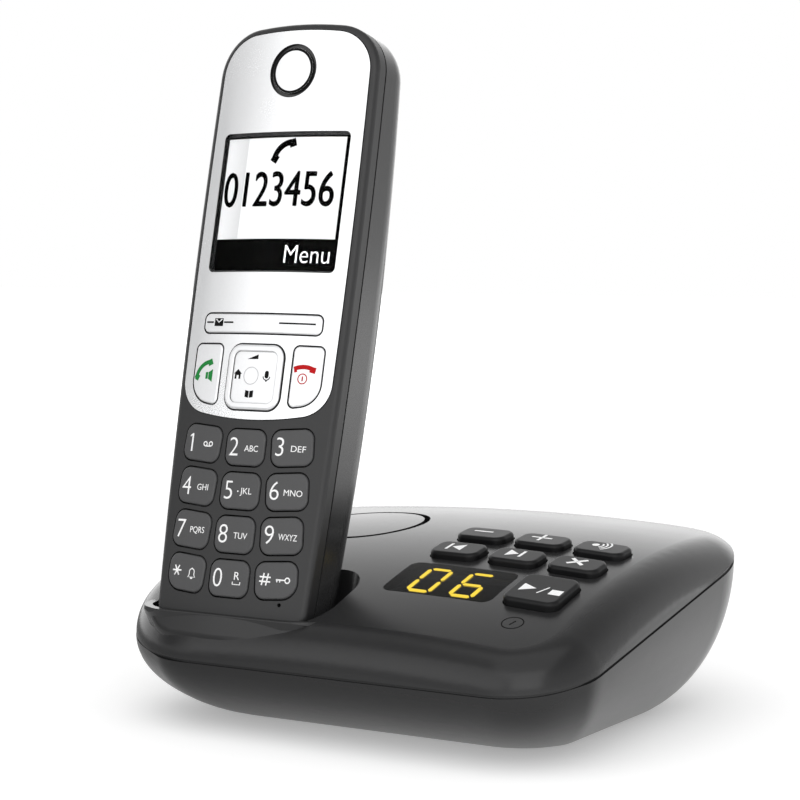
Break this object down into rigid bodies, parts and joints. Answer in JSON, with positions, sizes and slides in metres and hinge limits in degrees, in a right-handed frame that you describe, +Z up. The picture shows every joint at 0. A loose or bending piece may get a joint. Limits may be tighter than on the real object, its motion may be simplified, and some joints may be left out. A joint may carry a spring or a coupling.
{
  "type": "cordless telephone with answering machine base",
  "caption": "Cordless handset leaning in the cradle of a low rounded answering machine base with keys, a message display and a loudspeaker.",
  "frame": {"origin": "on the table, under the middle of the bounding box of base and handset", "axes": "+Z up, +X to the user's right, -Y towards the user"},
  "size_m": [0.136, 0.12, 0.1747],
  "materials": {
    "base_shell": "fine satin texture",
    "base_key_caps": "near-black satin key caps with white symbols",
    "smoked_window": "smoked window, gloss",
    "led_module": "black module with amber segments",
    "speaker_cap": "fine satin texture",
    "black_felt": "black felt",
    "driver": "paper cone in a black basket",
    "socket_plastic": "moulded black",
    "circuit_board": "green solder mask",
    "silicone_mat": "grey silicone",
    "rubber_feet": "soft black rubber",
    "steel_screws": "zinc plated steel",
    "contacts": "nickel plated spring steel",
    "cells": "plain sleeve with steel ends",
    "handset_front": "matte anthracite",
    "handset_back": "fine satin texture",
    "handset_keys": "matte grey key caps with white legends",
    "call_keys": "silver lacquer, satin, with dark symbols",
    "navigation": "silver lacquer, satin, with a raised frame",
    "silver_panel": "silver lacquer, satin",
    "earpiece_ring": "black",
    "display_lens": "clear window",
    "lcd": "pale liquid crystal display"
  },
  "bodies": {
    "base": {"base_upper_shell": "base_shell", "base_lower_shell": "base_shell", "base_feet": "rubber_feet", "base_screws": "steel_screws", "base_main_board": "circuit_board", "base_key_board": "circuit_board", "base_key_mat": "silicone_mat", "message_display_window": "smoked_window", "led_digit_module": "led_module", "speaker_cap": "speaker_cap", "speaker_mesh": "black_felt", "loudspeaker": "driver", "base_charging_contacts": "contacts", "power_socket": "socket_plastic", "line_socket": "socket_plastic"},
    "handset": {"handset_front_shell": "handset_front", "handset_back_shell": "handset_back", "silver_panel": "silver_panel", "display_window": "display_lens", "display_panel": "lcd", "earpiece": "driver", "earpiece_ring": "earpiece_ring", "earpiece_cap": "silver_panel", "handset_microphone": "driver", "handset_circuit_board": "circuit_board", "handset_key_mat": "silicone_mat", "batteries": "cells", "battery_contacts": "contacts", "handset_screws": "steel_screws", "handset_charging_contacts": "contacts", "ringer_loudspeaker": "driver"},
    "key_minus_body": {"key_minus": "base_key_caps"},
    "key_plus_body": {"key_plus": "base_key_caps"},
    "key_paging_body": {"key_paging": "base_key_caps"},
    "key_previous_body": {"key_previous": "base_key_caps"},
    "key_next_body": {"key_next": "base_key_caps"},
    "key_delete_body": {"key_delete": "base_key_caps"},
    "key_play_stop_body": {"key_play_stop": "base_key_caps"},
    "key_1_body": {"key_1": "handset_keys"},
    "key_2_body": {"key_2": "handset_keys"},
    "key_3_body": {"key_3": "handset_keys"},
    "key_4_body": {"key_4": "handset_keys"},
    "key_5_body": {"key_5": "handset_keys"},
    "key_6_body": {"key_6": "handset_keys"},
    "key_7_body": {"key_7": "handset_keys"},
    "key_8_body": {"key_8": "handset_keys"},
    "key_9_body": {"key_9": "handset_keys"},
    "key_star_body": {"key_star": "handset_keys"},
    "key_0_body": {"key_0": "handset_keys"},
    "key_hash_body": {"key_hash": "handset_keys"},
    "talk_key_body": {"talk_key": "call_keys"},
    "end_key_body": {"end_key": "call_keys"},
    "softkey_body": {"softkey_rocker": "call_keys"},
    "navigation_pad_body": {"navigation_pad": "silicone_mat"},
    "navigation_body": {"navigation_key": "navigation"},
    "battery_cover_body": {"battery_cover": "handset_back"}
  },
  "joints": [
    {"name": "handset_lift", "type": "slide", "parent": "base", "child": "handset", "axis": [0, 0.2236, 0.9747], "range_m": [0, 0.12]},
    {"name": "key_minus_press", "type": "slide", "parent": "base", "child": "key_minus_body", "axis": [-0.02, 0.1351, -0.9906], "range_m": [0, 0.0008], "stiffness_N_per_m": 1500, "springref_m": -0.0003},
    {"name": "key_plus_press", "type": "slide", "parent": "base", "child": "key_plus_body", "axis": [-0.0432, 0.135, -0.9899], "range_m": [0, 0.0008], "stiffness_N_per_m": 1500, "springref_m": -0.0003},
    {"name": "key_paging_press", "type": "slide", "parent": "base", "child": "key_paging_body", "axis": [-0.0664, 0.1349, -0.9886], "range_m": [0, 0.0008], "stiffness_N_per_m": 1500, "springref_m": -0.0003},
    {"name": "key_previous_press", "type": "slide", "parent": "base", "child": "key_previous_body", "axis": [-0.0198, 0.1949, -0.9806], "range_m": [0, 0.0008], "stiffness_N_per_m": 1500, "springref_m": -0.0003},
    {"name": "key_next_press", "type": "slide", "parent": "base", "child": "key_next_body", "axis": [-0.0428, 0.1948, -0.9799], "range_m": [0, 0.0008], "stiffness_N_per_m": 1500, "springref_m": -0.0003},
    {"name": "key_delete_press", "type": "slide", "parent": "base", "child": "key_delete_body", "axis": [-0.0657, 0.1946, -0.9787], "range_m": [0, 0.0008], "stiffness_N_per_m": 1500, "springref_m": -0.0003},
    {"name": "key_play_stop_press", "type": "slide", "parent": "base", "child": "key_play_stop_body", "axis": [-0.0634, 0.2662, -0.9618], "range_m": [0, 0.0008], "stiffness_N_per_m": 1500, "springref_m": -0.0003},
    {"name": "key_1_press", "type": "slide", "parent": "handset", "child": "key_1_body", "axis": [0, 0.9747, -0.2236], "range_m": [0, 0.0005], "stiffness_N_per_m": 1500, "springref_m": -0.0003},
    {"name": "key_2_press", "type": "slide", "parent": "handset", "child": "key_2_body", "axis": [0, 0.9747, -0.2236], "range_m": [0, 0.0005], "stiffness_N_per_m": 1500, "springref_m": -0.0003},
    {"name": "key_3_press", "type": "slide", "parent": "handset", "child": "key_3_body", "axis": [0, 0.9747, -0.2236], "range_m": [0, 0.0005], "stiffness_N_per_m": 1500, "springref_m": -0.0003},
    {"name": "key_4_press", "type": "slide", "parent": "handset", "child": "key_4_body", "axis": [0, 0.9747, -0.2236], "range_m": [0, 0.0005], "stiffness_N_per_m": 1500, "springref_m": -0.0003},
    {"name": "key_5_press", "type": "slide", "parent": "handset", "child": "key_5_body", "axis": [0, 0.9747, -0.2236], "range_m": [0, 0.0005], "stiffness_N_per_m": 1500, "springref_m": -0.0003},
    {"name": "key_6_press", "type": "slide", "parent": "handset", "child": "key_6_body", "axis": [0, 0.9747, -0.2236], "range_m": [0, 0.0005], "stiffness_N_per_m": 1500, "springref_m": -0.0003},
    {"name": "key_7_press", "type": "slide", "parent": "handset", "child": "key_7_body", "axis": [0, 0.9747, -0.2236], "range_m": [0, 0.0005], "stiffness_N_per_m": 1500, "springref_m": -0.0003},
    {"name": "key_8_press", "type": "slide", "parent": "handset", "child": "key_8_body", "axis": [0, 0.9747, -0.2236], "range_m": [0, 0.0005], "stiffness_N_per_m": 1500, "springref_m": -0.0003},
    {"name": "key_9_press", "type": "slide", "parent": "handset", "child": "key_9_body", "axis": [0, 0.9747, -0.2236], "range_m": [0, 0.0005], "stiffness_N_per_m": 1500, "springref_m": -0.0003},
    {"name": "key_star_press", "type": "slide", "parent": "handset", "child": "key_star_body", "axis": [0, 0.9747, -0.2236], "range_m": [0, 0.0005], "stiffness_N_per_m": 1500, "springref_m": -0.0003},
    {"name": "key_0_press", "type": "slide", "parent": "handset", "child": "key_0_body", "axis": [0, 0.9747, -0.2236], "range_m": [0, 0.0005], "stiffness_N_per_m": 1500, "springref_m": -0.0003},
    {"name": "key_hash_press", "type": "slide", "parent": "handset", "child": "key_hash_body", "axis": [0, 0.9747, -0.2236], "range_m": [0, 0.0005], "stiffness_N_per_m": 1500, "springref_m": -0.0003},
    {"name": "talk_key_press", "type": "slide", "parent": "handset", "child": "talk_key_body", "axis": [0, 0.9747, -0.2236], "range_m": [0, 0.0005], "stiffness_N_per_m": 1500, "springref_m": -0.0003},
    {"name": "end_key_press", "type": "slide", "parent": "handset", "child": "end_key_body", "axis": [0, 0.9747, -0.2236], "range_m": [0, 0.0005], "stiffness_N_per_m": 1500, "springref_m": -0.0003},
    {"name": "softkey_rock", "type": "hinge", "parent": "handset", "child": "softkey_body", "pos_m": [-0.02715, -0.03622, 0.09918], "axis": [0, 0.2236, 0.9747], "range_deg": [-1.5, 1.5], "stiffness_Nm_per_rad": 0.05},
    {"name": "navigation_up_down", "type": "hinge", "parent": "handset", "child": "navigation_pad_body", "pos_m": [-0.02715, -0.03826, 0.0858], "axis": [1, 0, 0], "range_deg": [-1.5, 1.5], "stiffness_Nm_per_rad": 0.05},
    {"name": "navigation_left_right", "type": "hinge", "parent": "navigation_pad_body", "child": "navigation_body", "pos_m": [-0.02715, -0.03826, 0.0858], "axis": [0, 0.2236, 0.9747], "range_deg": [-1.5, 1.5], "stiffness_Nm_per_rad": 0.05},
    {"name": "battery_cover_off", "type": "slide", "parent": "handset", "child": "battery_cover_body", "axis": [0, 0.9747, -0.2236], "range_m": [0, 0.012]}
  ]
}
